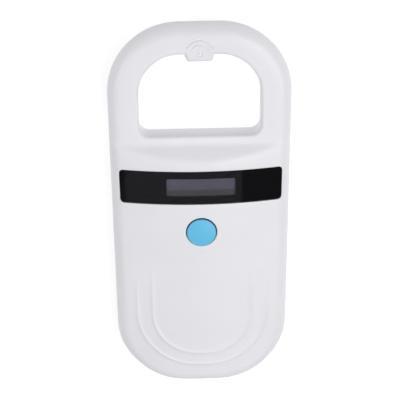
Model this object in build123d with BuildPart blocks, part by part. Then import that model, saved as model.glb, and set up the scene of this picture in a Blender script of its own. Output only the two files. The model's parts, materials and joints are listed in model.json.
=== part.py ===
"""Handheld microchip scanner: a two-part plastic shell with a loop handle that
holds the antenna coil, a display window, one push button, and the electronics.

Frame, in millimetres: the scanner lies on its back, so the rear face is at z = 0,
+Z points out of the front face, and +Y points from the body towards the loop.
"""

import os
from math import cos, radians, sin, tan

from build123d import *

# ---------------------------------------------------------------- driving dimensions
# Plan outline: the hull of two pairs of circles.
top_circle_r = 31.05
top_circle_x = 8.5
top_circle_y = 54.15
bottom_circle_r = 29.6
bottom_circle_x = 8.7
bottom_circle_y = -55.6

# Heights of the main faces.
handle_front_z = 16.2
handle_rear_z = 5.5
body_front_z = 21.3
parting_z = 10.0

# Crowned front face of the body.
crown_cross_r = 140.0
crown_long_r = 1800.0
crown_y = 13.5

# Edges of the shell.
body_edge_r = 5.0
handle_edge_r = 5.6
rear_edge_r = 4.0
lip_r = 1.2
seam_groove = 0.3
tongue_height = 1.0
tongue_inset = 1.05
tongue_gap = 0.1
tongue_fit = 0.05
rear_lip_r = 1.0
wall = 2.0
corner_softening = 3.0

# Step between the handle and the body.
step_foot_y = 32.25
step_angle = 37.4
step_rise = 8.0
step_wall = 7.5
rear_step_low_y = 20.0
rear_step_high_y = 31.0
rear_step_r = 12.0

# Opening of the loop handle.
opening_bottom_r = 4.6
opening_bottom_x = 21.6
opening_bottom_y = 40.45
opening_top_r = 18.0
opening_top_x = 8.2
opening_top_y = 54.55
tab_root_half = 6.2
tab_tip_half = 5.3
tab_tip_y = 69.35
tab_rise = 2.8
tab_reach = 6.0
tab_corner_r = 0.8

# Engraved wireless sign above the tab: two arcs over a ring.
sign_depth = 0.35
sign_line = 0.9
sign_focus_y = 73.1
sign_radii = (4.1, 6.1)
sign_half_angle = 63.0
sign_ring_r = 1.4
sign_ring_hole_r = 0.55

# Display strip and window.
strip_half = 35.45
strip_low_y = 6.0
strip_high_y = 21.45
strip_r = 1.7
strip_taper = 0.25
recess_depth = 1.2
window_thickness = 1.0
mask_thickness = 0.1
view_half = 15.0
view_low_y = 9.4
view_high_y = 17.65
view_r = 0.5
view_gap = 0.5
view_hole_r = 0.8
adhesive_gap = 0.4
panel_length = 31.0
panel_width = 11.5
panel_thickness = 1.45
panel_front_z = 18.35
display_y = 13.55
gasket_width = 0.5
carrier_wall = 1.2
carrier_top = 1.0

# Flat cable of the display and its connector.
cable_half = 5.0
cable_thickness = 0.15
cable_bend_r = 0.6
cable_reach = 1.2
connector_half = 6.2
connector_y = (2.2, 5.4)
connector_height = 1.1

# Push button.
button_y = -7.3
button_place = (0.0, button_y)
button_hole_d = 13.5
button_d = 12.9
button_top_z = 22.4
button_dome_r = 36.0
button_edge_r = 0.6
flange_d = 15.8
flange_top_z = 18.6
flange_thickness = 1.1
collar_wall = 1.1
collar_depth = 1.0
running_clearance = 0.08
button_travel = 0.5
stem_gap = 0.03

# Tact switch under the button.
switch_side = 6.0
switch_height = 3.4
switch_cover_thickness = 0.3
switch_hole_gap = 0.4
plunger_d = 3.4
plunger_reach = 4.5
plunger_length = 2.0
terminal_out = 0.4
terminal_half = (0.4, 0.35)
terminal_height = 0.8
terminal_row = 2.25

# Main board.
board_low_z = 11.0
board_top_z = 12.6
board_half = 26.5
board_low_y = -77.0
board_high_y = 24.0
board_gap = 4.6

# Screws.
shell_screw_places = ((0.0, 74.0), (31.0, 12.0), (-31.0, 12.0), (30.0, -57.0), (-30.0, -57.0))
shell_shank_d = 2.2
shell_hole_d = 2.6
shell_head_d = 4.4
shell_head_h = 1.6
counterbore_d = 5.0
boss_r = 3.0
body_seat_z = 3.2
handle_seat_z = 7.6
shell_screw_grip = 5.0
board_screw_places = ((22.5, 19.0), (-22.5, 19.0), (19.0, -66.0), (-19.0, -66.0))
board_shank_d = 1.8
board_head_d = 3.6
board_head_h = 1.3
board_post_r = 2.4
board_screw_length = 6.0
tip_gap = 0.4
drive_depth = 0.6

# Battery under the board.
battery_half = 17.0
battery_low_y = -55.0
battery_high_y = -5.0
battery_low_z = 2.5
battery_high_z = 8.0
battery_r = 1.5
battery_edge_r = 1.2
tape_half = 14.0
tape_margin = 4.0
sheet_thickness = 0.3
cell_board_width = 3.0
cell_board_z = (4.4, 5.6)

# Battery connector under the board.
wire_r = 0.6
wire_x = 1.25
wire_start_z = 5.0
wire_straight = 3.2
wire_bend_r = 3.6
plug_y = (8.0, 12.0)
plug_z = (6.6, 10.4)
header_y = (plug_y[1], plug_y[1] + 5.0)
header_low_z = 6.0
header_half = 4.0
plug_half = 3.2

# Charging socket at the lower end.
socket_width = 8.94
socket_height = 3.26
socket_r = 1.3
socket_wall = 0.3
socket_low_y = -84.4
socket_high_y = -77.2
socket_z = board_low_z - socket_height / 2
socket_clearance = 0.35
socket_back = 1.2
contact_half_width = 3.3
contact_half_height = 0.35
contact_recess = 0.8

# Blank label pocket in the rear face.
label_half = 18.0
label_y = (-58.0, -20.0)
label_recess = 0.3
label_gap = 0.3
label_thickness = 0.2
label_r = 2.0

# Antenna coil around the opening.
coil_gap = 4.6
coil_width = 2.8
coil_low_z = handle_rear_z + wall
coil_high_z = 13.8
lead_r = 0.4
lead_z = 13.2
lead_places = (8.0, 11.0)
terminal_y = (20.4, 22.4)

overlap = 60.0


# ---------------------------------------------------------------- shared profiles
def hull_of_circles(pairs, grow):
    """Hull of mirrored circles, each given as (x, y, radius), with every radius grown."""
    for x, y, radius in pairs:
        with Locations((x, y), (-x, y)):
            Circle(radius + grow)
    make_hull()


def body_outline(inset=0.0):
    """Plan outline of the whole scanner, moved inwards by inset."""
    hull_of_circles(
        (
            (top_circle_x, top_circle_y, top_circle_r),
            (bottom_circle_x, bottom_circle_y, bottom_circle_r),
        ),
        -inset,
    )


def opening_outline(grow=0.0):
    """Plan outline of the loop's opening without its tab, moved outwards by grow."""
    hull_of_circles(
        (
            (opening_top_x, opening_top_y, opening_top_r),
            (opening_bottom_x, opening_bottom_y, opening_bottom_r),
        ),
        grow,
    )


def outline_prism(inset, low_z, high_z, mode=Mode.ADD):
    with BuildSketch(Plane.XY.offset(low_z)) as plan:
        body_outline(inset)
    extrude(plan.sketch, amount=high_z - low_z, mode=mode)


def opening_prism(grow, low_z, high_z, mode=Mode.SUBTRACT):
    with BuildSketch(Plane.XY.offset(low_z)) as plan:
        opening_outline(grow)
    extrude(plan.sketch, amount=high_z - low_z, mode=mode)


def block(x_span, y_span, z_span, radius=0.0, mode=Mode.ADD):
    """Upright block between the given limits, with rounded plan corners."""
    with BuildSketch(Plane.XY.offset(z_span[0])) as plan:
        with Locations(((x_span[0] + x_span[1]) / 2, (y_span[0] + y_span[1]) / 2)):
            Rectangle(x_span[1] - x_span[0], y_span[1] - y_span[0])
        if radius > 0:
            fillet(vertices(), radius)
    extrude(plan.sketch, amount=z_span[1] - z_span[0], mode=mode)


def post(places, radius, low_z, high_z, mode=Mode.ADD):
    """Upright round posts at the given places."""
    with BuildSketch(Plane.XY.offset(low_z)) as plan:
        with Locations(*places):
            Circle(radius)
    extrude(plan.sketch, amount=high_z - low_z, mode=mode)


def keep_side(y, toward_handle):
    """Cut the part under construction at y and keep the handle side or the body side."""
    span = (y, y + 200) if toward_handle else (y - 200, y)
    block((-overlap, overlap), span, (-overlap, overlap), mode=Mode.INTERSECT)


def crown_solid(top_z):
    """Thick block whose upper face is the crowned front face, highest at top_z."""
    half = 60.0
    depth = 40.0
    drop = crown_cross_r - (crown_cross_r**2 - half**2) ** 0.5
    sweep_angle = 14.0
    with BuildPart() as crowned:
        with BuildSketch(Plane.XZ):
            with BuildLine():
                Polyline(
                    (half, crown_long_r - drop),
                    (half, crown_long_r - depth),
                    (-half, crown_long_r - depth),
                    (-half, crown_long_r - drop),
                )
                ThreePointArc(
                    (-half, crown_long_r - drop),
                    (0, crown_long_r),
                    (half, crown_long_r - drop),
                )
            make_face()
        revolve(axis=Axis.X, revolution_arc=sweep_angle)
    centred = crowned.part.rotate(Axis.X, -sweep_angle / 2)
    return centred.moved(Location((0, crown_y, top_z - crown_long_r)))


def under_crown(top_z, mode=Mode.INTERSECT):
    """Trim the part under construction with the crowned face at height top_z."""
    add(crown_solid(top_z), mode=mode)


def strip_outline(shrink=0.0):
    """Plan outline of the display strip; its ends follow the taper of the sides."""
    low = strip_half - strip_taper - shrink
    high = strip_half - shrink
    Polygon(
        (-low, strip_low_y + shrink),
        (low, strip_low_y + shrink),
        (high, strip_high_y - shrink),
        (-high, strip_high_y - shrink),
        align=None,
    )
    fillet(vertices(), strip_r - shrink)


def finish(piece, name):
    """Label a finished piece and write it to its own file."""
    piece.part.label = name
    export_step(piece.part, f"parts/{name}.step")


os.makedirs("parts", exist_ok=True)

# ---------------------------------------------------------------- front shell
# Flat front of the loop handle with its sloped flank, and the opening.
with BuildPart() as handle_front:
    outline_prism(0, parting_z, handle_front_z)
    fillet(handle_front.faces().sort_by(Axis.Z)[-1].edges(), handle_edge_r)
    opening_prism(0, 0, overlap)
    with BuildSketch(Plane.XY.offset(parting_z)):
        Polygon(
            (-tab_root_half, tab_tip_y + tab_reach),
            (-tab_root_half, tab_tip_y + tab_rise),
            (-tab_tip_half, tab_tip_y),
            (tab_tip_half, tab_tip_y),
            (tab_root_half, tab_tip_y + tab_rise),
            (tab_root_half, tab_tip_y + tab_reach),
            align=None,
        )
        fillet(vertices().group_by(Axis.Y)[0], tab_corner_r)
    extrude(amount=handle_front_z - parting_z)
    lip = handle_front.faces().sort_by(Axis.Z)[-1].inner_wires()[0].edges()
    fillet(lip, lip_r)
    keep_side(step_foot_y, toward_handle=True)

# Crowned front of the body, cut away by the inclined step to the handle.
with BuildPart() as body_front:
    outline_prism(0, 0, overlap)
    under_crown(body_front_z)
    fillet(body_front.faces().sort_by(Axis.Z)[-1].edges(), body_edge_r)
    block((-overlap, overlap), (-200, step_foot_y), (parting_z, overlap), mode=Mode.INTERSECT)
    with BuildSketch(Plane.YZ.offset(-overlap)):
        Polygon(
            (step_foot_y, handle_front_z),
            (step_foot_y, handle_front_z + step_rise),
            (step_foot_y - step_rise / tan(radians(step_angle)), handle_front_z + step_rise),
            align=None,
        )
    extrude(amount=2 * overlap, mode=Mode.SUBTRACT)

# Hollow inside the front shell, with the screw bosses left standing.
with BuildPart() as front_hollow:
    outline_prism(wall, parting_z, overlap)
    under_crown(body_front_z - wall)
    fillet(front_hollow.faces().sort_by(Axis.Z)[-1].edges(), corner_softening)
    keep_side(step_foot_y - step_wall, toward_handle=False)
    with BuildSketch(Plane.XY.offset(parting_z)):
        body_outline(wall)
    extrude(amount=handle_front_z - wall - parting_z)
    opening_prism(wall, parting_z, handle_front_z)
    post(shell_screw_places, boss_r, parting_z, overlap, Mode.SUBTRACT)


def sign_arc(radius):
    """Arc of the engraved wireless sign, centred on its focus."""
    lean = radians(sign_half_angle)
    with BuildLine() as bow:
        CenterArc((0, sign_focus_y), radius, 90 - sign_half_angle, 2 * sign_half_angle)
    trace(bow.line, line_width=sign_line)
    with Locations(
        (radius * sin(lean), sign_focus_y + radius * cos(lean)),
        (-radius * sin(lean), sign_focus_y + radius * cos(lean)),
    ):
        Circle(sign_line / 2)


def socket_cut(z_low, z_high):
    """Clear the charging socket's port through the lower end wall, between two heights."""
    grown = socket_clearance
    port_width = socket_width + 2 * grown
    port_height = socket_height + 2 * grown
    with BuildPart() as port:
        with BuildSketch(Plane.XZ.offset(-socket_low_y - 4)):
            with Locations((0, socket_z)):
                RectangleRounded(port_width, port_height, socket_r + grown)
        extrude(amount=8)
        block((-overlap, overlap), (-200, 0), (z_low, z_high), mode=Mode.INTERSECT)
    add(port.part, mode=Mode.SUBTRACT)


def seam_step(low_z, high_z, outer_inset, inner_inset, mode):
    """Band of constant width that runs along the outline between two insets."""
    with BuildPart() as band:
        outline_prism(outer_inset, low_z, high_z)
        outline_prism(inner_inset, low_z, high_z, Mode.SUBTRACT)
    add(band.part, mode=mode)


with BuildPart() as front_shell:
    add(handle_front.part)
    add(body_front.part)
    add(front_hollow.part, mode=Mode.SUBTRACT)
    # Collar that guides the flange of the button.
    guide_r = flange_d / 2 + running_clearance
    collar_low_z = flange_top_z - flange_thickness - collar_depth
    post((button_place,), guide_r + collar_wall, collar_low_z, body_front_z - wall / 2)
    post((button_place,), guide_r, parting_z, flange_top_z + 0.1, Mode.SUBTRACT)
    post((button_place,), button_hole_d / 2, parting_z, overlap, Mode.SUBTRACT)
    with BuildSketch(Plane.XY.offset(handle_front_z - sign_depth)):
        for arc_r in sign_radii:
            sign_arc(arc_r)
        with Locations((0, sign_focus_y)):
            Circle(sign_ring_r)
            Circle(sign_ring_hole_r, mode=Mode.SUBTRACT)
    extrude(amount=2 * sign_depth, mode=Mode.SUBTRACT)
    # View hole of the display.
    block(
        (-view_half - view_gap, view_half + view_gap),
        (view_low_y - view_gap, view_high_y + view_gap),
        (parting_z, overlap),
        view_hole_r,
        Mode.SUBTRACT,
    )
    pilot_top_z = parting_z + shell_screw_grip
    post(shell_screw_places, shell_shank_d / 2, parting_z, pilot_top_z, Mode.SUBTRACT)
    socket_cut(parting_z, overlap)
    rebate_top_z = parting_z + tongue_height + tongue_gap
    seam_step(parting_z, rebate_top_z, tongue_inset - tongue_fit, wall + tongue_gap, Mode.SUBTRACT)
    seam_step(parting_z, parting_z + seam_groove, -1.0, seam_groove, Mode.SUBTRACT)
    # Recess of the display strip, following the crown.
    with BuildSketch(Plane.XY.offset(parting_z)) as strip_plan:
        strip_outline()
    strip_cutter = extrude(amount=overlap, mode=Mode.PRIVATE)
    add(strip_cutter - crown_solid(body_front_z - recess_depth), mode=Mode.SUBTRACT)
finish(front_shell, "front_shell")


# ---------------------------------------------------------------- rear shell
with BuildPart() as rear_block:
    outline_prism(0, 0, parting_z)
    with BuildSketch(Plane.YZ.offset(-overlap)):
        Polygon(
            (-120, 0),
            (rear_step_low_y, 0),
            (rear_step_high_y, handle_rear_z),
            (120, handle_rear_z),
            (120, parting_z),
            (-120, parting_z),
            align=None,
        )
        fillet(vertices().sort_by_distance((rear_step_low_y, 0))[:2], rear_step_r)
    extrude(amount=2 * overlap, mode=Mode.INTERSECT)
    rim_edges = rear_block.edges().filter_by(Axis.X, reverse=True)
    fillet(rim_edges.filter_by_position(Axis.Z, -0.1, handle_rear_z + 0.5), rear_edge_r)
    opening_prism(0, 0, overlap)
    tab_span = (tab_tip_y, tab_tip_y + tab_reach)
    block((-tab_root_half, tab_root_half), tab_span, (handle_rear_z, parting_z), tab_corner_r)
    rear_face = rear_block.faces().filter_by(Axis.Z).filter_by_position(Axis.Z, 5.0, 6.0)[0]
    fillet(rear_face.inner_wires()[0].edges(), rear_lip_r)

with BuildPart() as rear_hollow:
    outline_prism(wall, wall, parting_z)
    fillet(rear_hollow.faces().sort_by(Axis.Z)[0].edges(), corner_softening)
    keep_side(rear_step_low_y, toward_handle=False)
    outline_prism(wall, handle_rear_z + wall, parting_z)
    opening_prism(wall, 0, parting_z)
    post(shell_screw_places, boss_r, 0, parting_z, Mode.SUBTRACT)
    post(board_screw_places, board_post_r, 0, parting_z, Mode.SUBTRACT)

with BuildPart() as rear_shell:
    add(rear_block.part)
    add(rear_hollow.part, mode=Mode.SUBTRACT)
    seam_step(parting_z, parting_z + tongue_height, tongue_inset, wall, Mode.ADD)
    post(board_screw_places, board_post_r, parting_z, board_low_z)
    board_pilot_z = board_top_z - board_screw_length
    post(board_screw_places, board_shank_d / 2, board_pilot_z, board_low_z, Mode.SUBTRACT)
    post(shell_screw_places, shell_hole_d / 2, 0, parting_z, Mode.SUBTRACT)
    post(shell_screw_places[1:], counterbore_d / 2, 0, body_seat_z, Mode.SUBTRACT)
    post(shell_screw_places[:1], counterbore_d / 2, 0, handle_seat_z, Mode.SUBTRACT)
    socket_cut(0, parting_z + wall)
    block((-label_half, label_half), label_y, (0, label_recess), label_r, Mode.SUBTRACT)
finish(rear_shell, "rear_shell")

# ---------------------------------------------------------------- display
recess_floor_z = body_front_z - recess_depth
window_rear_z = body_front_z - window_thickness
mask_rear_z = window_rear_z - mask_thickness


def strip_layer(top_z, bottom_z, shrink=0.05):
    """Layer of the display strip between two heights of the crowned face."""
    with BuildSketch(Plane.XY.offset(parting_z)) as plan:
        strip_outline(shrink)
    extrude(plan.sketch, amount=overlap)
    under_crown(top_z)
    under_crown(bottom_z, Mode.SUBTRACT)


with BuildPart() as display_window:
    add(body_front.part)
    with BuildSketch(Plane.XY.offset(parting_z)) as window_plan:
        strip_outline(0.05)
    extrude(window_plan.sketch, amount=overlap, mode=Mode.INTERSECT)
    under_crown(window_rear_z, Mode.SUBTRACT)
finish(display_window, "display_window")

with BuildPart() as window_mask:
    strip_layer(window_rear_z, mask_rear_z)
    view_span = (view_low_y, view_high_y)
    block((-view_half, view_half), view_span, (parting_z, overlap), view_r, Mode.SUBTRACT)
finish(window_mask, "window_mask")

with BuildPart() as window_adhesive:
    strip_layer(mask_rear_z, recess_floor_z, shrink=adhesive_gap)
    block(
        (-view_half - view_gap, view_half + view_gap),
        (view_low_y - view_gap, view_high_y + view_gap),
        (parting_z, overlap),
        view_hole_r,
        Mode.SUBTRACT,
    )
finish(window_adhesive, "window_adhesive")

panel_x = (-panel_length / 2, panel_length / 2)
panel_y = (display_y - panel_width / 2, display_y + panel_width / 2)
panel_rear_z = panel_front_z - panel_thickness

with BuildPart() as display_panel:
    block(panel_x, panel_y, (panel_rear_z, panel_front_z), 0.3)
finish(display_panel, "display_panel")

with BuildPart() as display_gasket:
    block(panel_x, panel_y, (panel_front_z, overlap))
    block(
        (panel_x[0] + gasket_width, panel_x[1] - gasket_width),
        (panel_y[0] + gasket_width, panel_y[1] - gasket_width),
        (panel_front_z, overlap),
        mode=Mode.SUBTRACT,
    )
    under_crown(body_front_z - wall)
finish(display_gasket, "display_gasket")

with BuildPart() as display_carrier:
    block(panel_x, panel_y, (board_top_z, panel_rear_z))
    block(
        (panel_x[0] + carrier_wall, panel_x[1] - carrier_wall),
        (panel_y[0] + carrier_wall, panel_y[1] - carrier_wall),
        (board_top_z, panel_rear_z - carrier_top),
        mode=Mode.SUBTRACT,
    )
finish(display_carrier, "display_carrier")

# Flat cable of the display: out of the panel's lower long side, down to its connector.
cable_drop_y = panel_y[0] - cable_reach
cable_high_z = panel_rear_z + 0.5
cable_low_z = board_top_z + cable_bend_r
with BuildPart() as display_cable:
    with BuildSketch(Plane.YZ.offset(-cable_half)):
        with BuildLine() as cable_path:
            FilletPolyline(
                (panel_y[0], cable_high_z),
                (cable_drop_y, cable_high_z),
                (cable_drop_y, cable_low_z),
                (connector_y[1], cable_low_z),
                radius=cable_bend_r,
            )
        trace(cable_path.line, line_width=cable_thickness)
    extrude(amount=2 * cable_half)
finish(display_cable, "display_cable")

with BuildPart() as cable_connector:
    connector_span = (board_top_z, board_top_z + connector_height)
    block((-connector_half, connector_half), connector_y, connector_span, 0.2)
finish(cable_connector, "cable_connector")

# ---------------------------------------------------------------- push button
switch_body_top_z = board_top_z + switch_height
plunger_top_z = board_top_z + plunger_reach
plunger_low_z = plunger_top_z - plunger_length
cap_low_z = plunger_top_z + stem_gap
flange_low_z = flange_top_z - flange_thickness

with BuildPart() as button_cap:
    with BuildSketch(Plane.XY.offset(flange_low_z)):
        with Locations((0, button_y)):
            Circle(button_d / 2)
    extrude(amount=button_top_z - flange_low_z + 1)
    with Locations((0, button_y, button_top_z - button_dome_r)):
        Sphere(button_dome_r, mode=Mode.INTERSECT)
    rims = button_cap.edges().filter_by(lambda edge: edge.is_closed)
    fillet(rims.sort_by(Axis.Z)[-1], button_edge_r)
    post((button_place,), flange_d / 2, flange_low_z, flange_top_z)
    post((button_place,), plunger_d / 2 - 0.2, cap_low_z, flange_low_z)
finish(button_cap, "button_cap")


def switch_block(side, z_span, mode=Mode.ADD, radius=0.0):
    half = side / 2
    block((-half, half), (button_y - half, button_y + half), z_span, radius, mode)


with BuildPart() as switch_base:
    switch_block(switch_side, (board_top_z, switch_body_top_z))
    well_r = plunger_d / 2 + switch_hole_gap
    well_low_z = plunger_low_z - button_travel - 0.2
    post((button_place,), well_r, well_low_z, switch_body_top_z, Mode.SUBTRACT)
finish(switch_base, "switch_base")

with BuildPart() as switch_cover:
    switch_block(switch_side, (switch_body_top_z, switch_body_top_z + switch_cover_thickness))
    cover_hole_r = plunger_d / 2 + running_clearance
    post((button_place,), cover_hole_r, switch_body_top_z, overlap, Mode.SUBTRACT)
finish(switch_cover, "switch_cover")

with BuildPart() as switch_plunger:
    post((button_place,), plunger_d / 2, plunger_low_z, plunger_top_z)
    fillet(switch_plunger.edges().sort_by(Axis.Z)[-1], 0.3)
finish(switch_plunger, "switch_plunger")

with BuildPart() as switch_terminals:
    half_x, half_y = terminal_half
    for side in (-1, 1):
        for end in (-1, 1):
            x = side * (switch_side / 2 + terminal_out)
            y = button_y + end * terminal_row
            block(
                (x - half_x, x + half_x),
                (y - half_y, y + half_y),
                (board_top_z, board_top_z + terminal_height),
            )
finish(switch_terminals, "switch_terminals")

# ---------------------------------------------------------------- main board
with BuildPart() as main_board:
    with BuildSketch(Plane.XY.offset(board_low_z)) as board_plan:
        body_outline(board_gap)
    extrude(board_plan.sketch, amount=board_top_z - board_low_z)
    block((-board_half, board_half), (board_low_y, board_high_y), (0, overlap), mode=Mode.INTERSECT)
    post(board_screw_places, board_shank_d / 2 + 0.1, 0, overlap, Mode.SUBTRACT)
finish(main_board, "main_board")


def chip(name, centre, size, height, radius=0.2):
    """Write one packaged component that stands on the board."""
    with BuildPart() as package:
        x, y = centre
        width, length = size
        block(
            (x - width / 2, x + width / 2),
            (y - length / 2, y + length / 2),
            (board_top_z, board_top_z + height),
            radius,
        )
        chamfer(package.faces().sort_by(Axis.Z)[-1].edges(), 0.15)
    finish(package, name)


chip("microcontroller", (0, -30), (10, 10), 1.2)
chip("reader_chip", (14, -10), (7, 9), 1.4)
chip("charger_chip", (8, -62), (4, 4), 0.9)
chip("clock_crystal", (-11, -33), (3.2, 5), 0.9)
chip("power_inductor", (0, -62), (5, 5), 2.2, 0.8)


def small_parts(name, rows, size, height):
    """Write one group of equal two-terminal components, laid out in rows of places."""
    width, length = size
    with BuildPart() as group:
        for x, y in rows:
            block(
                (x - width / 2, x + width / 2),
                (y - length / 2, y + length / 2),
                (board_top_z, board_top_z + height),
            )
    finish(group, name)


resistor_places = [(x, y) for x in (-15, -12, 10, 13) for y in (-48, -44, -40)]
capacitor_places = [(x, y) for x in (-6, 6) for y in (-42, -39)] + [(22, y) for y in (-14, -10, -6)]
small_parts("resistors", resistor_places, (1.6, 0.8), 0.5)
small_parts("capacitors", capacitor_places, (2.0, 1.25), 1.1)

with BuildPart() as buzzer:
    buzzer_place = ((-16, -18),)
    post(buzzer_place, 4.5, board_top_z, board_top_z + 3.2)
    post(buzzer_place, 0.7, board_top_z + 2.4, overlap, Mode.SUBTRACT)
finish(buzzer, "buzzer")

# ---------------------------------------------------------------- charging socket
with BuildPart() as socket_shell:
    with BuildSketch(Plane.XZ.offset(-socket_high_y)):
        with Locations((0, socket_z)):
            RectangleRounded(socket_width, socket_height, socket_r)
            RectangleRounded(
                socket_width - 2 * socket_wall,
                socket_height - 2 * socket_wall,
                socket_r - socket_wall,
                mode=Mode.SUBTRACT,
            )
    extrude(amount=socket_high_y - socket_low_y)
finish(socket_shell, "socket_shell")

with BuildPart() as socket_tongue:
    with BuildSketch(Plane.XZ.offset(-socket_high_y)):
        with Locations((0, socket_z)):
            RectangleRounded(
                socket_width - 2 * socket_wall,
                socket_height - 2 * socket_wall,
                socket_r - socket_wall,
            )
    extrude(amount=socket_back)
    tongue_y = (socket_low_y + contact_recess, socket_high_y - socket_back)
    tongue_z = (socket_z - contact_half_height, socket_z + contact_half_height)
    block((-contact_half_width, contact_half_width), tongue_y, tongue_z)
finish(socket_tongue, "socket_tongue")

# ---------------------------------------------------------------- antenna coil
with BuildPart() as antenna_coil:
    with BuildSketch(Plane.XY.offset(coil_low_z)) as coil_plan:
        opening_outline(coil_gap + coil_width)
    extrude(coil_plan.sketch, amount=coil_high_z - coil_low_z)
    opening_prism(coil_gap, 0, overlap)
finish(antenna_coil, "antenna_coil")

with BuildPart() as coil_terminals:
    for x in lead_places:
        block((x - 1, x + 1), terminal_y, (board_top_z, lead_z + 0.7))
finish(coil_terminals, "coil_terminals")

coil_face_y = opening_bottom_y - opening_bottom_r - coil_gap - coil_width
with BuildPart() as coil_leads:
    with BuildSketch(Plane.XZ.offset(-coil_face_y)):
        with Locations(*((x, lead_z) for x in lead_places)):
            Circle(lead_r)
    extrude(amount=coil_face_y - terminal_y[1])
finish(coil_leads, "coil_leads")

# ---------------------------------------------------------------- battery
with BuildPart() as battery_cell:
    cell_z = (battery_low_z, battery_high_z)
    block((-battery_half, battery_half), (battery_low_y, battery_high_y), cell_z, battery_r)
    fillet(battery_cell.edges().filter_by(Axis.Z, reverse=True), battery_edge_r)
finish(battery_cell, "battery_cell")

with BuildPart() as battery_tape:
    tape_y = (battery_low_y + tape_margin, battery_high_y - tape_margin)
    block((-tape_half, tape_half), tape_y, (wall, battery_low_z), 0.5)
finish(battery_tape, "battery_tape")

with BuildPart() as insulation_sheet:
    sheet_z = (battery_high_z, battery_high_z + sheet_thickness)
    block((-battery_half, battery_half), (battery_low_y, battery_high_y), sheet_z, 1.0)
finish(insulation_sheet, "insulation_sheet")

with BuildPart() as cell_board:
    cell_board_y = (battery_high_y, battery_high_y + cell_board_width)
    block((-tape_half, tape_half), cell_board_y, cell_board_z)
finish(cell_board, "cell_board")

with BuildPart() as battery_header:
    block((-header_half, header_half), header_y, (header_low_z, board_low_z))
finish(battery_header, "battery_header")

with BuildPart() as battery_plug:
    block((-plug_half, plug_half), plug_y, plug_z)
finish(battery_plug, "battery_plug")


def battery_wire(x, name):
    """Round wire from the cell board up to the battery plug."""
    start_y = battery_high_y + cell_board_width
    end_z = (plug_z[0] + plug_z[1]) / 2
    with BuildPart() as wire:
        with BuildLine() as route:
            FilletPolyline(
                (x, start_y, wire_start_z),
                (x, start_y + wire_straight, wire_start_z),
                (x, plug_y[0] - wire_straight, end_z),
                (x, plug_y[0], end_z),
                radius=wire_bend_r,
            )
        with BuildSketch(Plane(origin=route.line @ 0, z_dir=route.line % 0)):
            Circle(wire_r)
        sweep(path=route.line)
    finish(wire, name)


battery_wire(wire_x, "battery_wire_red")
battery_wire(-wire_x, "battery_wire_black")

# ---------------------------------------------------------------- screws
def screw(place, seat_z, head_d, head_h, shank_d, tip_z, upward):
    """Pan-head screw whose head rests on seat_z and whose tip reaches tip_z."""
    head_far_z = seat_z - head_h if upward else seat_z + head_h
    low_z, high_z = sorted((head_far_z, seat_z))
    post((place,), head_d / 2, low_z, high_z)
    low_z, high_z = sorted((seat_z, tip_z))
    post((place,), shank_d / 2, low_z, high_z)
    drive_end_z = head_far_z + (drive_depth if upward else -drive_depth)
    post((place,), shank_d / 4, *sorted((head_far_z, drive_end_z)), Mode.SUBTRACT)


with BuildPart() as shell_screws:
    for index, place in enumerate(shell_screw_places):
        seat_z = handle_seat_z if index == 0 else body_seat_z
        tip_z = parting_z + shell_screw_grip - tip_gap
        screw(place, seat_z, shell_head_d, shell_head_h, shell_shank_d, tip_z, upward=True)
finish(shell_screws, "shell_screws")

with BuildPart() as board_screws:
    for place in board_screw_places:
        tip_z = board_top_z - board_screw_length + tip_gap
        screw(place, board_top_z, board_head_d, board_head_h, board_shank_d, tip_z, upward=False)
finish(board_screws, "board_screws")

with BuildPart() as rear_label:
    block(
        (-label_half + label_gap, label_half - label_gap),
        (label_y[0] + label_gap, label_y[1] - label_gap),
        (label_recess - label_thickness, label_recess),
        label_r,
    )
finish(rear_label, "rear_label")
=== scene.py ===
"""Looks of the handheld microchip scanner, in metres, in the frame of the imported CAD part."""

import json
from math import cos, radians, sin, tan

import bpy
import numpy as np
from mathutils import Matrix, Vector
from mathutils.geometry import delaunay_2d_cdt
from mathutils.kdtree import KDTree


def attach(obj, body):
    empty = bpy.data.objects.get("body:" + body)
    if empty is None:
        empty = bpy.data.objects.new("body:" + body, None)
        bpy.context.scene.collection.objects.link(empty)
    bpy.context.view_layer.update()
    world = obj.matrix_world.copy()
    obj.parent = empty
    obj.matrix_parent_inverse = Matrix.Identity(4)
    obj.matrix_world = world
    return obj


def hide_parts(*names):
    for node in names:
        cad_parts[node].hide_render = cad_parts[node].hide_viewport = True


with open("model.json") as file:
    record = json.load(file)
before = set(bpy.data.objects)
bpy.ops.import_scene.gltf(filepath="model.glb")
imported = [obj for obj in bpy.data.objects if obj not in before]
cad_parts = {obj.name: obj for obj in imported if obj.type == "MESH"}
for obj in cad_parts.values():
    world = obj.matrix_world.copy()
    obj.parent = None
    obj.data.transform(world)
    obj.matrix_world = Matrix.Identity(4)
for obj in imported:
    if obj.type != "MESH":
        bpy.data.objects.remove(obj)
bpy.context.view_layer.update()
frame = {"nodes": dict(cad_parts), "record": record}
nodes = frame["nodes"]
MM = 0.001


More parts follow.
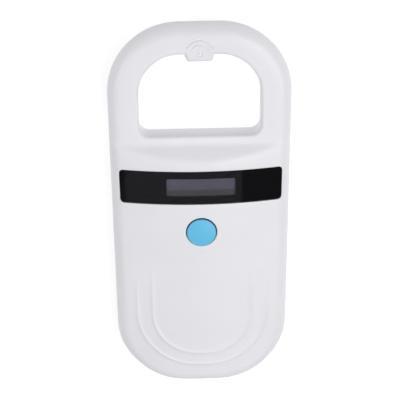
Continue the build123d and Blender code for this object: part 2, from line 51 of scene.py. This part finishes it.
# ------------------------------------------------------------------ materials
class Shader:
    """A material under construction: a Principled shader plus the nodes that feed it."""

    def __init__(self, name, color, roughness, **sockets):
        self.material = bpy.data.materials.new(name)
        self.material.use_nodes = True
        self.nodes = self.material.node_tree.nodes
        self.links = self.material.node_tree.links
        self.base = self.nodes["Principled BSDF"]
        self.base.inputs["Base Color"].default_value = (*color, 1)
        self.base.inputs["Roughness"].default_value = roughness
        for socket, value in sockets.items():
            self.base.inputs[socket.replace("_", " ")].default_value = value
        self.coordinates = self.nodes.new("ShaderNodeTexCoord").outputs["Object"]

    def noise(self, scale, detail=4.0, stretch=(1, 1, 1)):
        """Noise in object space; scale is in features per metre."""
        mapping = self.nodes.new("ShaderNodeMapping")
        mapping.inputs["Scale"].default_value = stretch
        self.links.new(self.coordinates, mapping.inputs["Vector"])
        texture = self.nodes.new("ShaderNodeTexNoise")
        texture.inputs["Scale"].default_value = scale
        texture.inputs["Detail"].default_value = detail
        self.links.new(mapping.outputs["Vector"], texture.inputs["Vector"])
        return texture.outputs["Fac"]

    def span(self, value, low, high):
        """Map a value of about 0.3 to 0.7 to the span from low to high."""
        node = self.nodes.new("ShaderNodeMapRange")
        node.inputs["From Min"].default_value = 0.3
        node.inputs["From Max"].default_value = 0.7
        node.inputs["To Min"].default_value = low
        node.inputs["To Max"].default_value = high
        self.links.new(value, node.inputs["Value"])
        return node.outputs["Result"]

    def along(self, axis, low, high):
        """Position on an object axis, 0 at low and 1 at high (metres)."""
        axes = self.nodes.new("ShaderNodeSeparateXYZ")
        self.links.new(self.coordinates, axes.inputs["Vector"])
        node = self.nodes.new("ShaderNodeMapRange")
        node.inputs["From Min"].default_value = low
        node.inputs["From Max"].default_value = high
        self.links.new(axes.outputs[axis], node.inputs["Value"])
        return node.outputs["Result"]

    def blend_colors(self, factor, dark, light):
        node = self.nodes.new("ShaderNodeMix")
        node.data_type = "RGBA"
        node.inputs["A"].default_value = (*dark, 1)
        node.inputs["B"].default_value = (*light, 1)
        self.links.new(factor, node.inputs["Factor"])
        return node.outputs["Result"]

    def color(self, output):
        self.links.new(output, self.base.inputs["Base Color"])

    def roughness(self, output):
        self.links.new(output, self.base.inputs["Roughness"])

    def bump(self, height, distance):
        node = self.nodes.new("ShaderNodeBump")
        node.inputs["Distance"].default_value = distance
        self.links.new(height, node.inputs["Height"])
        self.links.new(node.outputs["Normal"], self.base.inputs["Normal"])


def mixed(color, factor):
    """The color made darker or lighter by a factor."""
    return tuple(min(1.0, channel * factor) for channel in color)


def moulded(shader, roughness, grain=2500, depth=0.01):
    """Finish of a moulded face: fine spark grain and patches of handling polish."""
    shader.roughness(shader.span(shader.noise(70, 5), roughness - 0.05, roughness + 0.06))
    shader.bump(shader.noise(grain, 2), depth * MM)


def plastic(name, color, roughness, grain=2500, depth=0.01, spread=0.04, **sockets):
    """Moulded plastic with a faint colour drift."""
    shader = Shader(name, color, roughness, **sockets)
    drift = shader.span(shader.noise(28), 0, 1)
    shader.color(shader.blend_colors(drift, mixed(color, 1 - spread / 2), mixed(color, 1 + spread / 2)))
    moulded(shader, roughness, grain, depth)
    return shader.material


def metal(name, color, roughness, stretch=(1, 12, 1)):
    """Drawn or plated metal with fine lines along one axis."""
    shader = Shader(name, color, roughness, Metallic=1.0)
    drift = shader.span(shader.noise(120), 0, 1)
    shader.color(shader.blend_colors(drift, mixed(color, 0.92), color))
    shader.roughness(shader.span(shader.noise(400, 4, stretch), roughness - 0.06, roughness + 0.1))
    shader.bump(shader.noise(900, 3, stretch), 0.004 * MM)
    return shader.material


def winding(name, color):
    """Enamelled copper wire, wound in many fine turns."""
    shader = Shader(name, color, 0.3, Metallic=0.9)
    wave = shader.nodes.new("ShaderNodeTexWave")
    wave.bands_direction = "Z"
    wave.inputs["Scale"].default_value = 500
    shader.links.new(shader.coordinates, wave.inputs["Vector"])
    shader.color(shader.blend_colors(wave.outputs["Fac"], mixed(color, 0.5), color))
    shader.roughness(shader.span(shader.noise(300), 0.22, 0.4))
    shader.bump(wave.outputs["Fac"], 0.05 * MM)
    return shader.material


def clear_cover(name):
    """Hard-coated clear cover: a thin see-through sheet with a glossy face."""
    violet_tint = (0.93, 0.9, 1.0, 1.0)
    shader = Shader(name, (0.003, 0.003, 0.004), 0.04, Alpha=0.35, Specular_Tint=violet_tint)
    shader.roughness(shader.span(shader.noise(90, 5), 0.02, 0.05))
    shader.bump(shader.noise(160, 2), 0.002 * MM)
    return shader.material


def display_face(name):
    """Glass of the display: violet-grey lit area over a plainer driver strip."""
    shader = Shader(name, (0.30, 0.28, 0.40), 0.25)
    ramp = shader.nodes.new("ShaderNodeValToRGB")
    shader.links.new(shader.along("Y", 0.0094, 0.0177), ramp.inputs["Fac"])
    driver = (0.29, 0.30, 0.35)
    edge = (0.45, 0.45, 0.52)
    lit = (0.48, 0.44, 0.66)
    top = (0.43, 0.40, 0.58)
    ramp.color_ramp.elements[0].color = (*edge, 1)
    ramp.color_ramp.elements[1].color = (*top, 1)
    for place, color in ((0.10, driver), (0.26, driver), (0.36, edge), (0.50, lit), (0.9, lit)):
        ramp.color_ramp.elements.new(place).color = (*color, 1)
    grain = shader.span(shader.noise(300), 0, 1)
    mix = shader.nodes.new("ShaderNodeMix")
    mix.data_type = "RGBA"
    mix.blend_type = "MULTIPLY"
    mix.inputs["Factor"].default_value = 0.12
    shader.links.new(ramp.outputs["Color"], mix.inputs["A"])
    shader.links.new(grain, mix.inputs["B"])
    shader.color(mix.outputs["Result"])
    shader.roughness(shader.span(shader.noise(120), 0.2, 0.3))
    shader.bump(shader.noise(200), 0.001 * MM)
    return shader.material


def button_face(name):
    """Sky-blue plastic, with painted shade: the rim where it goes down into the shell is coloured navy
    for the shadow in the gap around it.
    """
    gap_shade_navy = (0.01, 0.06, 0.16)
    sky_blue = (0.125, 0.52, 0.79)
    shader = Shader(name, sky_blue, 0.42)
    # Painted shade: below the top face the colour turns navy, standing in for the shadow in the gap
    # around the button.
    shader.color(shader.blend_colors(shader.along("Z", 0.02145, 0.02175), gap_shade_navy, sky_blue))
    moulded(shader, 0.42)
    return shader.material


MATERIALS = {
    "shell": plastic("shell_plastic", (0.80, 0.793, 0.835), 0.45),
    "button": button_face("button_plastic"),
    "window": clear_cover("window_cover"),
    "mask": plastic("mask_print", (0.0015, 0.0015, 0.002), 0.7, Specular_IOR_Level=0.15),
    "adhesive": plastic("tape_black", (0.02, 0.02, 0.02), 0.8),
    "panel": display_face("panel_glass"),
    "foam": plastic("foam_black", (0.03, 0.03, 0.03), 0.9, grain=4000, depth=0.05),
    "black_plastic": plastic("moulded_black", (0.02, 0.02, 0.022), 0.5),
    "cream_plastic": plastic("moulded_cream", (0.70, 0.66, 0.55), 0.5),
    "polyimide": plastic("flex_amber", (0.45, 0.20, 0.03), 0.3),
    "board": plastic("solder_mask", (0.01, 0.10, 0.04), 0.3, spread=0.2),
    "chip": plastic("chip_package", (0.018, 0.018, 0.02), 0.6),
    "ceramic": plastic("capacitor_ceramic", (0.30, 0.20, 0.12), 0.5),
    "steel": metal("plated_steel", (0.62, 0.62, 0.64), 0.28),
    "copper": winding("copper_winding", (0.60, 0.24, 0.09)),
    "cell": metal("cell_laminate", (0.60, 0.61, 0.63), 0.42, (1, 1, 1)),
    "red_wire": plastic("wire_red", (0.40, 0.02, 0.02), 0.5),
    "black_wire": plastic("wire_black", (0.02, 0.02, 0.02), 0.5),
    "label": plastic("label_blank", (0.62, 0.63, 0.64), 0.55, grain=900, depth=0.004),
}


def dress_cad_nodes():
    """Give every carried-over CAD node the material of its slot in the record."""
    for entry in frame["record"]["subparts"]:
        node = nodes[entry["node"]]
        node.data.materials.clear()
        node.data.materials.append(MATERIALS[entry["material_slot"]])


# ------------------------------------------------------------------ plan shapes
# Sizes here are millimetres. A plan shape takes numpy arrays of x and y and gives the
# distance to its edge, negative inside.
OUTLINE = ((8.5, 54.15, 31.05), (8.7, -55.6, 29.6))
OPENING = ((8.2, 54.55, 18.0), (21.6, 40.45, 4.6))
SCREWS = ((0.0, 74.0), (31.0, 12.0), (-31.0, 12.0), (30.0, -57.0), (-30.0, -57.0))
SHELL_BOX = (-41.0, 41.0, -86.0, 86.0)

# Shell
WALL = 2.0
PARTING = 10.0
HANDLE_FRONT = 16.2
BODY_FRONT = 21.3
CROWN_R_ACROSS, CROWN_R_LENGTHWISE, CROWN_Y = 140.0, 1800.0, 13.5
STEP_FOOT = 32.25
STEP_SLOPE = tan(radians(37.4))
STEP_HEAD_BLEND, STEP_FOOT_BLEND = 1.5, 1.3
BODY_LIFT = 0.15  # slope that holds the continued crown above the loop's own face
FLANK_WIDTH, FLANK_FALL, FLANK_BLEND = 5.3, 0.255, 2.4
EDGE_R, EDGE_HEIGHT, EDGE_FOOT = 5.0, 5.5, 10.4
LIP_R = 1.3
HOLLOW_END = 24.75
HOLLOW_EDGE_R = 3.0
BOSS_R = 3.0
REBATE_INSET, REBATE_DEPTH = 1.0, 1.1
SEAM_INSET, SEAM_GROOVE = 0.31, 0.3
PORT_HALF, PORT_Y, PORT_TOP = 4.82, -83.1, 11.35

# Button hole and the guide collar under it
BUTTON = (0.0, -7.3)
BUTTON_HOLE_R, BUTTON_RIM_R = 6.75, 0.4
COLLAR_R, COLLAR_BORE_R = 9.07, 7.99
COLLAR_LOW, COLLAR_BORE_TOP = 16.5, 18.7

# Display strip. The view sizes are (half width, half height, corner radius).
STRIP_Y, STRIP_HALF, STRIP_HALF_Y, STRIP_CORNER_R = 13.725, 35.32, 7.725, 1.7
STRIP_FLARE = 0.016
STRIP_DEPTH, STRIP_RIM_R, STRIP_GAP = 1.2, 0.25, 0.05
STRIP_BOX = (-36.0, 36.0, 4.0, 22.0)
DISPLAY_Y = 13.52
VIEW_HOLE = (15.5, 4.625, 0.8)
VIEW_AREA = (15.0, 4.125, 0.5)

# Tab at the top of the opening: the normal of its slanted side, and the rounding of its corners
TAB_TIP_Y, TAB_TIP_HALF, TAB_ROOT_HALF = 69.35, 5.3, 6.2
TAB_NORMAL = (0.952, 0.306)
TAB_ROUNDING = 0.8

# Engraved sign: the focus of its arcs, then sizes from there
SIGN_Y = 73.1
SIGN_RADII, SIGN_HALF_ANGLE, SIGN_ARC_HALF = (4.1, 6.1), 63, 0.52
SIGN_RING_R, SIGN_RING_HALF = 0.975, 0.5
SIGN_DEPTH, SIGN_WALL = 0.45, 0.25

# Raised lines of the lower body: (half width, lowest y, corner radius), and where each fades in
INNER_RIB, INNER_RIB_FADE = (22.1, -68.7, 20.0), (-19.5, -45)
OUTER_RIB, OUTER_RIB_FADE = (29.0, -74.6, 26.0), (-26, -51)
RIB_HALF_WIDTH, RIB_HEIGHT = 1.1, 0.42

# Mesh: spacing of the free points, half the width that a vertical wall takes in plan, and the
# angle from which an edge stays sharp
GRID = 1.5
SLIVER = 0.02
CREASE_ANGLE = 35


def smooth_min(a, b, blend):
    """The lower of two heights, rounded over where they cross."""
    share = np.clip(0.5 + 0.5 * (b - a) / blend, 0, 1)
    return b * (1 - share) + a * share - blend * share * (1 - share)


def smooth_max(a, b, blend):
    return -smooth_min(-a, -b, blend)


def ease(value, start, end):
    """Smooth step from 0 at start to 1 at end."""
    t = np.clip((value - start) / (end - start), 0, 1)
    return t * t * (3 - 2 * t)


def round_hull(x, y, circles):
    """Hull of an upper and a lower circle, each (x, y, radius), and their mirror images."""
    (ax, ay, ar), (bx, by, br) = circles
    length = np.hypot(ax - bx, ay - by)
    along = ((ax - bx) / length, (ay - by) / length)
    lean = (br - ar) / length
    level = np.sqrt(1 - lean**2)
    nx = level * along[1] + lean * along[0]
    ny = -level * along[0] + lean * along[1]
    x = np.abs(x)
    side = nx * (x - ax) + ny * (y - ay) - ar
    flat = np.maximum(np.maximum(y - ay - ar, by - br - y), side)
    near_a = (x > ax) & (nx * (y - ay) - ny * (x - ax) > 0)
    near_b = (x > bx) & (nx * (y - by) - ny * (x - bx) < 0)
    flat = np.where(near_a, np.hypot(x - ax, y - ay) - ar, flat)
    return np.where(near_b, np.hypot(x - bx, y - by) - br, flat)


def round_box(x, y, center_y, half_x, half_y, radius):
    qx = np.abs(x) - (half_x - radius)
    qy = np.abs(y - center_y) - (half_y - radius)
    return np.hypot(np.maximum(qx, 0), np.maximum(qy, 0)) + np.minimum(np.maximum(qx, qy), 0) - radius


def disc(x, y, center, radius):
    return np.hypot(x - center[0], y - center[1]) - radius


def outline(x, y):
    return round_hull(x, y, OUTLINE)


def opening(x, y):
    """Opening of the loop, less the tab that hangs from its upper edge."""
    slant = TAB_NORMAL[0] * (np.abs(x) - TAB_TIP_HALF) - TAB_NORMAL[1] * (y - TAB_TIP_Y)
    tip = smooth_max(TAB_TIP_Y - y, slant, TAB_ROUNDING)
    tab = smooth_max(tip, np.abs(x) - TAB_ROOT_HALF, TAB_ROUNDING)
    return smooth_max(round_hull(x, y, OPENING), -tab, TAB_ROUNDING)


def strip(x, y):
    """Display strip, a little narrower at its lower edge like the body."""
    half = STRIP_HALF + STRIP_FLARE * (y - STRIP_Y)
    return round_box(x, y, STRIP_Y, half, STRIP_HALF_Y, STRIP_CORNER_R)


def view_hole(x, y):
    return round_box(x, y, DISPLAY_Y, *VIEW_HOLE)


def view_area(x, y):
    return round_box(x, y, DISPLAY_Y, *VIEW_AREA)


def button_hole(x, y):
    return disc(x, y, BUTTON, BUTTON_HOLE_R)


def rib(x, y, half, low, radius):
    """Centre line of a U-shaped rib, as the distance to it."""
    qx = np.abs(x) - (half - radius)
    qy = low + radius - y
    return np.hypot(np.maximum(qx, 0), np.maximum(qy, 0)) + np.minimum(np.maximum(qx, qy), 0) - radius


def inner_rib(x, y):
    return rib(x, y, *INNER_RIB)


def outer_rib(x, y):
    return rib(x, y, *OUTER_RIB)


def sign(x, y):
    """Engraved wireless sign: two arcs over a ring."""
    half_angle = radians(SIGN_HALF_ANGLE)
    from_focus = np.hypot(x, y - SIGN_Y)
    lean = np.arctan2(np.abs(x), y - SIGN_Y)
    shape = np.abs(from_focus - SIGN_RING_R) - SIGN_RING_HALF
    for radius in SIGN_RADII:
        tip = np.hypot(np.abs(x) - radius * sin(half_angle), y - SIGN_Y - radius * cos(half_angle))
        arc = np.where(lean < half_angle, np.abs(from_focus - radius), tip)
        shape = np.minimum(shape, arc - SIGN_ARC_HALF)
    return shape


def bosses(x, y):
    return np.minimum.reduce([disc(x, y, place, BOSS_R) for place in SCREWS])


# ------------------------------------------------------------------ heights
def roundover(distance, radius, height):
    """Drop of a rounded edge at a distance inside it."""
    left = np.clip(1 - distance / radius, 0, 1)
    return height * (1 - np.sqrt(1 - left**2))


def crown(x, y):
    """Front face of the body, slightly domed both ways."""
    across = CROWN_R_ACROSS - np.sqrt(CROWN_R_ACROSS**2 - x**2)
    lengthwise = CROWN_R_LENGTHWISE - np.sqrt(CROWN_R_LENGTHWISE**2 - (y - CROWN_Y) ** 2)
    return BODY_FRONT - across - lengthwise


def step_face(y):
    """Inclined face between the body and the thinner loop."""
    return HANDLE_FRONT + (STEP_FOOT - y) * STEP_SLOPE


def front_faces(x, y):
    """Crowned body, inclined step and flat loop, before edges and details."""
    inside = -outline(x, y)
    flank = smooth_max(FLANK_WIDTH - inside, np.zeros_like(x), FLANK_BLEND)
    handle = HANDLE_FRONT - FLANK_FALL * flank
    body = crown(x, y) + BODY_LIFT * np.maximum(0, y - STEP_FOOT)
    return smooth_min(body, smooth_max(handle, step_face(y), STEP_FOOT_BLEND), STEP_HEAD_BLEND)


def front_top(x, y):
    """Outer face of the front shell, with its edges, raised lines, sign and strip recess."""
    inside = -outline(x, y)
    z = front_faces(x, y)
    z = z - roundover(inside, EDGE_R, np.minimum(EDGE_HEIGHT, z - EDGE_FOOT))
    z = z - roundover(opening(x, y), LIP_R, LIP_R)
    z = z - roundover(button_hole(x, y), BUTTON_RIM_R, BUTTON_RIM_R)
    for line, fade in ((inner_rib, INNER_RIB_FADE), (outer_rib, OUTER_RIB_FADE)):
        bell = 0.5 + 0.5 * np.cos(np.pi * np.clip(line(x, y) / RIB_HALF_WIDTH, -1, 1))
        z = z + RIB_HEIGHT * bell * ease(y, *fade)
    z = z - SIGN_DEPTH * ease(sign(x, y), 0.0, -SIGN_WALL)
    edge = strip(x, y)
    z = z - roundover(edge, STRIP_RIM_R, STRIP_RIM_R)
    return np.where(edge < -0.001, crown(x, y) - STRIP_DEPTH, z)


def front_under(x, y):
    """Inner face of the front shell: walls, bosses and button collar stand down to their own heights."""
    inside = -outline(x, y)
    hollow = np.where(y < HOLLOW_END, crown(x, y) - WALL, HANDLE_FRONT - WALL)
    rounded = front_faces(x, y) - roundover(inside - WALL, HOLLOW_EDGE_R, HOLLOW_EDGE_R)
    hollow = np.minimum(hollow, rounded - WALL)
    from_button = np.hypot(x - BUTTON[0], y - BUTTON[1])
    hollow = np.where(from_button < COLLAR_R, COLLAR_LOW, hollow)
    hollow = np.where(from_button < COLLAR_BORE_R, COLLAR_BORE_TOP, hollow)
    solid = (inside < WALL + SLIVER) | (opening(x, y) < WALL) | (bosses(x, y) < 0)
    z = np.where(solid, PARTING, hollow)
    z = np.where((inside > REBATE_INSET) & (inside < WALL + SLIVER), PARTING + REBATE_DEPTH, z)
    z = np.where(inside < SEAM_INSET, PARTING + SEAM_GROOVE, z)
    port = (np.abs(x) < PORT_HALF) & (y < PORT_Y)
    return np.where(port, np.maximum(z, PORT_TOP), z)


# ------------------------------------------------------------------ mesh making
def contours(shape, level, box, step):
    """Lines where a plan shape has the given level, as lists of points, by marching squares."""
    x0, x1, y0, y1 = box
    xs = np.arange(x0, x1 + step, step)
    ys = np.arange(y0, y1 + step, step)
    gx, gy = np.meshgrid(xs, ys, indexing="ij")
    value = shape(gx, gy) - level
    value = np.where(np.abs(value) < 1e-9, 1e-9, value)
    inside = value < 0

    def crossing(i, j, k, l):
        share = value[i, j] / (value[i, j] - value[k, l])
        return (xs[i] + share * (xs[k] - xs[i]), ys[j] + share * (ys[l] - ys[j]))

    links = {}
    points = {}
    corners = [inside[:-1, :-1], inside[1:, :-1], inside[1:, 1:], inside[:-1, 1:]]
    mixed_cells = np.logical_or.reduce(corners) & ~np.logical_and.reduce(corners)
    for i, j in zip(*np.nonzero(mixed_cells)):
        edges = (
            (i, j, i + 1, j),
            (i + 1, j, i + 1, j + 1),
            (i, j + 1, i + 1, j + 1),
            (i, j, i, j + 1),
        )
        cut = [e for e in edges if inside[e[0], e[1]] != inside[e[2], e[3]]]
        for edge in cut:
            points.setdefault(edge, crossing(*edge))
        pairs = [(cut[0], cut[1])] if len(cut) == 2 else [(cut[0], cut[3]), (cut[1], cut[2])]
        for a, b in pairs:
            links.setdefault(a, []).append(b)
            links.setdefault(b, []).append(a)
    lines = []
    while links:
        start = next((k for k, v in links.items() if len(v) == 1), next(iter(links)))
        line = [start]
        here = start
        while links.get(here):
            following = links[here].pop()
            links[following].remove(here)
            if not links[here]:
                del links[here]
            line.append(following)
            here = following
            if here == start:
                break
        if here in links and not links[here]:
            del links[here]
        lines.append(np.array([points[e] for e in line]))
    return lines


def respaced(line, spacing):
    """The same line with even spacing."""
    closed = np.hypot(*(line[0] - line[-1])) < 1e-6
    reach = np.concatenate([[0], np.cumsum(np.hypot(*np.diff(line, axis=0).T))])
    count = max(3, int(round(reach[-1] / spacing)))
    at = np.linspace(0, reach[-1], count + 1)
    result = np.stack([np.interp(at, reach, line[:, k]) for k in (0, 1)], 1)
    if closed:
        result[-1] = result[0]
    return result, closed


def plan_piece(name, region, features, top, under, box, step=0.5):
    """Closed solid over a plan region, between two height functions.

    features lists (shape, levels, spacing): lines of the plan that the mesh follows.
    """
    points, edges = [], []
    for shape, levels, spacing in ((region, (0.0,), 1.0), *features):
        for level in levels:
            for line in contours(shape, level, box, step):
                if len(line) < 3:
                    continue
                line, closed = respaced(line, spacing)
                keep = region(line[:, 0], line[:, 1]) < 0.02
                count = len(line) - (1 if closed else 0)
                index = {}
                for k in range(count):
                    if keep[k]:
                        index[k] = len(points)
                        points.append(tuple(line[k]))
                for k in range(len(line) - 1):
                    a, b = index.get(k), index.get((k + 1) % count if closed else k + 1)
                    if a is not None and b is not None and a != b:
                        edges.append((a, b))
    tree = KDTree(len(points))
    for k, (px, py) in enumerate(points):
        tree.insert((px, py, 0), k)
    tree.balance()
    x0, x1, y0, y1 = box
    rows = int((y1 - y0) / (GRID * 0.866)) + 1
    for row in range(rows):
        py = y0 + row * GRID * 0.866
        for px in np.arange(x0 + (GRID / 2 if row % 2 else 0), x1, GRID):
            if tree.find((px, py, 0))[2] > 0.6 * GRID:
                points.append((px, py))
    verts, _, faces, *_ = delaunay_2d_cdt([Vector(p) for p in points], edges, [], 0, 1e-5)
    xy = np.array([tuple(v) for v in verts])
    centers = np.array([xy[list(f)].mean(0) for f in faces])
    kept = region(centers[:, 0], centers[:, 1]) < -1e-4
    faces = [tuple(f) for f, k in zip(faces, kept) if k]
    used = sorted({v for f in faces for v in f})
    place = {v: k for k, v in enumerate(used)}
    xy = xy[used]
    faces = [tuple(place[v] for v in f) for f in faces]
    count = len(xy)
    high = top(xy[:, 0], xy[:, 1])
    low = np.minimum(under(xy[:, 0], xy[:, 1]), high - 0.02)
    coordinates = np.concatenate([np.column_stack([xy, high]), np.column_stack([xy, low])]) * MM
    polygons = list(faces) + [tuple(v + count for v in reversed(f)) for f in faces]
    sides = dict.fromkeys((f[k], f[(k + 1) % 3]) for f in faces for k in range(3))
    for a, b in sides:
        if (b, a) not in sides:
            polygons.append((b, a, a + count, b + count))
    mesh = bpy.data.meshes.new(name)
    mesh.from_pydata(coordinates.tolist(), [], polygons)
    mesh.validate()
    mesh.update()
    return mesh


def show(mesh, material, node):
    """Put a mesh in the scene in place of a CAD node of the housing."""
    mesh.polygons.foreach_set("use_smooth", [True] * len(mesh.polygons))
    mesh.set_sharp_from_angle(angle=radians(CREASE_ANGLE))
    mesh.materials.append(material)
    piece = bpy.data.objects.new(mesh.name, mesh)
    bpy.context.collection.objects.link(piece)
    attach(piece, "housing")
    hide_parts(node)


def front_shell():
    def region(x, y):
        holes = np.minimum(np.minimum(opening(x, y), button_hole(x, y)), view_hole(x, y))
        return np.maximum(outline(x, y), -holes)

    def step_foot(x, y):
        return y - STEP_FOOT

    def step_head(x, y):
        return crown(x, y) - step_face(y)

    def hollow_end(x, y):
        return y - HOLLOW_END

    edge_levels = [-EDGE_R * (1 - sin(radians(a))) for a in (0, 12, 24, 36, 48, 60, 70, 78, 84)]
    rib_levels = (-RIB_HALF_WIDTH, -0.75, -0.4, 0.0, 0.4, 0.75, RIB_HALF_WIDTH)
    features = (
        (outline, (*edge_levels, -FLANK_WIDTH, -6.2), 1.2),
        (outline, (-0.3, -0.34, -0.98, -1.02, -2.0, -2.04), 1.5),
        (opening, (0.04, 0.15, 0.35, 0.65, 1.0, 1.4, 1.98, 2.02), 0.8),
        (button_hole, (0.03, 0.12, 0.25, 0.42), 0.6),
        (lambda x, y: disc(x, y, BUTTON, COLLAR_BORE_R - SLIVER), (0, 2 * SLIVER), 1.0),
        (lambda x, y: disc(x, y, BUTTON, COLLAR_R - SLIVER), (0, 2 * SLIVER), 1.0),
        (bosses, (-SLIVER, SLIVER), 0.8),
        (strip, (-SLIVER, SLIVER, 0.1, 0.26), 1.0),
        (inner_rib, rib_levels, 1.2),
        (outer_rib, rib_levels, 1.2),
        (step_foot, (-1.2, -0.8, -0.4, 0.0, 0.4, 0.8, 1.2), 1.5),
        (step_head, (-0.9, -0.5, -0.2, 0.1, 0.4, 0.8), 1.5),
        (hollow_end, (-SLIVER, SLIVER), 2.0),
        (sign, (0.0, -0.12, -SIGN_WALL), 0.35),
    )
    mesh = plan_piece("front_shell_form", region, features, front_top, front_under, SHELL_BOX)
    show(mesh, MATERIALS["shell"], "front_shell")


def strip_sheet(name, node, material, top_depth, low_depth, hole=None):
    """One sheet of the display strip, between two depths under the crowned face."""

    def region(x, y):
        edge = strip(x, y) + STRIP_GAP
        return edge if hole is None else np.maximum(edge, -hole(x, y))

    def top(x, y):
        face = crown(x, y) - top_depth
        if top_depth > 0:
            return face
        return face - roundover(-outline(x, y), EDGE_R, EDGE_R)

    def under(x, y):
        return crown(x, y) - low_depth

    mesh = plan_piece(name, region, (), top, under, STRIP_BOX, step=0.25)
    show(mesh, material, node)


def display_strip():
    strip_sheet("display_window_form", "display_window", MATERIALS["window"], 0, 0.98)
    strip_sheet("window_mask_form", "window_mask", MATERIALS["mask"], 1.0, 1.1, view_area)


# ------------------------------------------------------------------ studio
def area_light(name, place, size, power):
    """Soft rectangular light that faces the scanner."""
    lamp = bpy.data.lights.new(name, "AREA")
    lamp.shape = "RECTANGLE"
    lamp.size, lamp.size_y = size
    lamp.energy = power
    light = bpy.data.objects.new(name, lamp)
    bpy.context.collection.objects.link(light)
    light.location = place
    toward = Vector((0, 0, 0.01)) - Vector(place)
    light.rotation_euler = toward.to_track_quat("-Z", "Y").to_euler()


def camera():
    """Camera above the loop end and a little to the left, leaning back towards the body."""
    lean = radians(24)
    yaw = radians(-1.71)
    roll = radians(0.55)
    distance = 0.650
    target = Vector((-0.00034, 0.00504, 0.014))
    back = Vector((sin(yaw) * cos(lean), sin(lean), cos(yaw) * cos(lean)))
    level_right = Vector((0, 1, 0)).cross(back).normalized()
    level_up = back.cross(level_right)
    right = cos(roll) * level_right - sin(roll) * level_up
    up = sin(roll) * level_right + cos(roll) * level_up
    lens = bpy.data.cameras.new("camera")
    lens.sensor_width = 36
    lens.lens = 133.2
    lens.clip_start = 0.01
    eye = bpy.data.objects.new("camera", lens)
    bpy.context.collection.objects.link(eye)
    place = target + distance * back
    columns = Matrix((right, up, back)).transposed().to_4x4()
    eye.matrix_world = Matrix.Translation(place) @ columns
    bpy.context.scene.camera = eye


def studio():
    """Pale floor, world light and three soft lights."""
    mesh = bpy.data.meshes.new("floor")
    half = 3.0
    just_under = -0.0002
    corners = [(x * half, y * half, just_under) for x, y in ((-1, -1), (1, -1), (1, 1), (-1, 1))]
    mesh.from_pydata(corners, [], [(0, 1, 2, 3)])
    floor = bpy.data.objects.new("floor", mesh)
    bpy.context.collection.objects.link(floor)
    shader = Shader("floor_paper", (0.4, 0.4, 0.4), 0.9)
    shader.base.inputs["Emission Color"].default_value = (1, 1, 1, 1)
    shader.base.inputs["Emission Strength"].default_value = 0.70
    mesh.materials.append(shader.material)
    world = bpy.data.worlds.new("studio")
    world.use_nodes = True
    world.node_tree.nodes["Background"].inputs["Color"].default_value = (1, 1, 1, 1)
    world.node_tree.nodes["Background"].inputs["Strength"].default_value = 0.15
    bpy.context.scene.world = world
    area_light("key", (0.70, 0.10, 1.33), (1.2, 1.2), 17.1)
    area_light("fill", (-0.90, 0.12, 0.93), (0.8, 0.8), 5.6)
    area_light("softbox", (-0.10, -0.42, 0.88), (0.8, 0.4), 0.5)
    bpy.context.scene.view_settings.view_transform = "Standard"


dress_cad_nodes()
front_shell()
display_strip()
camera()
studio()
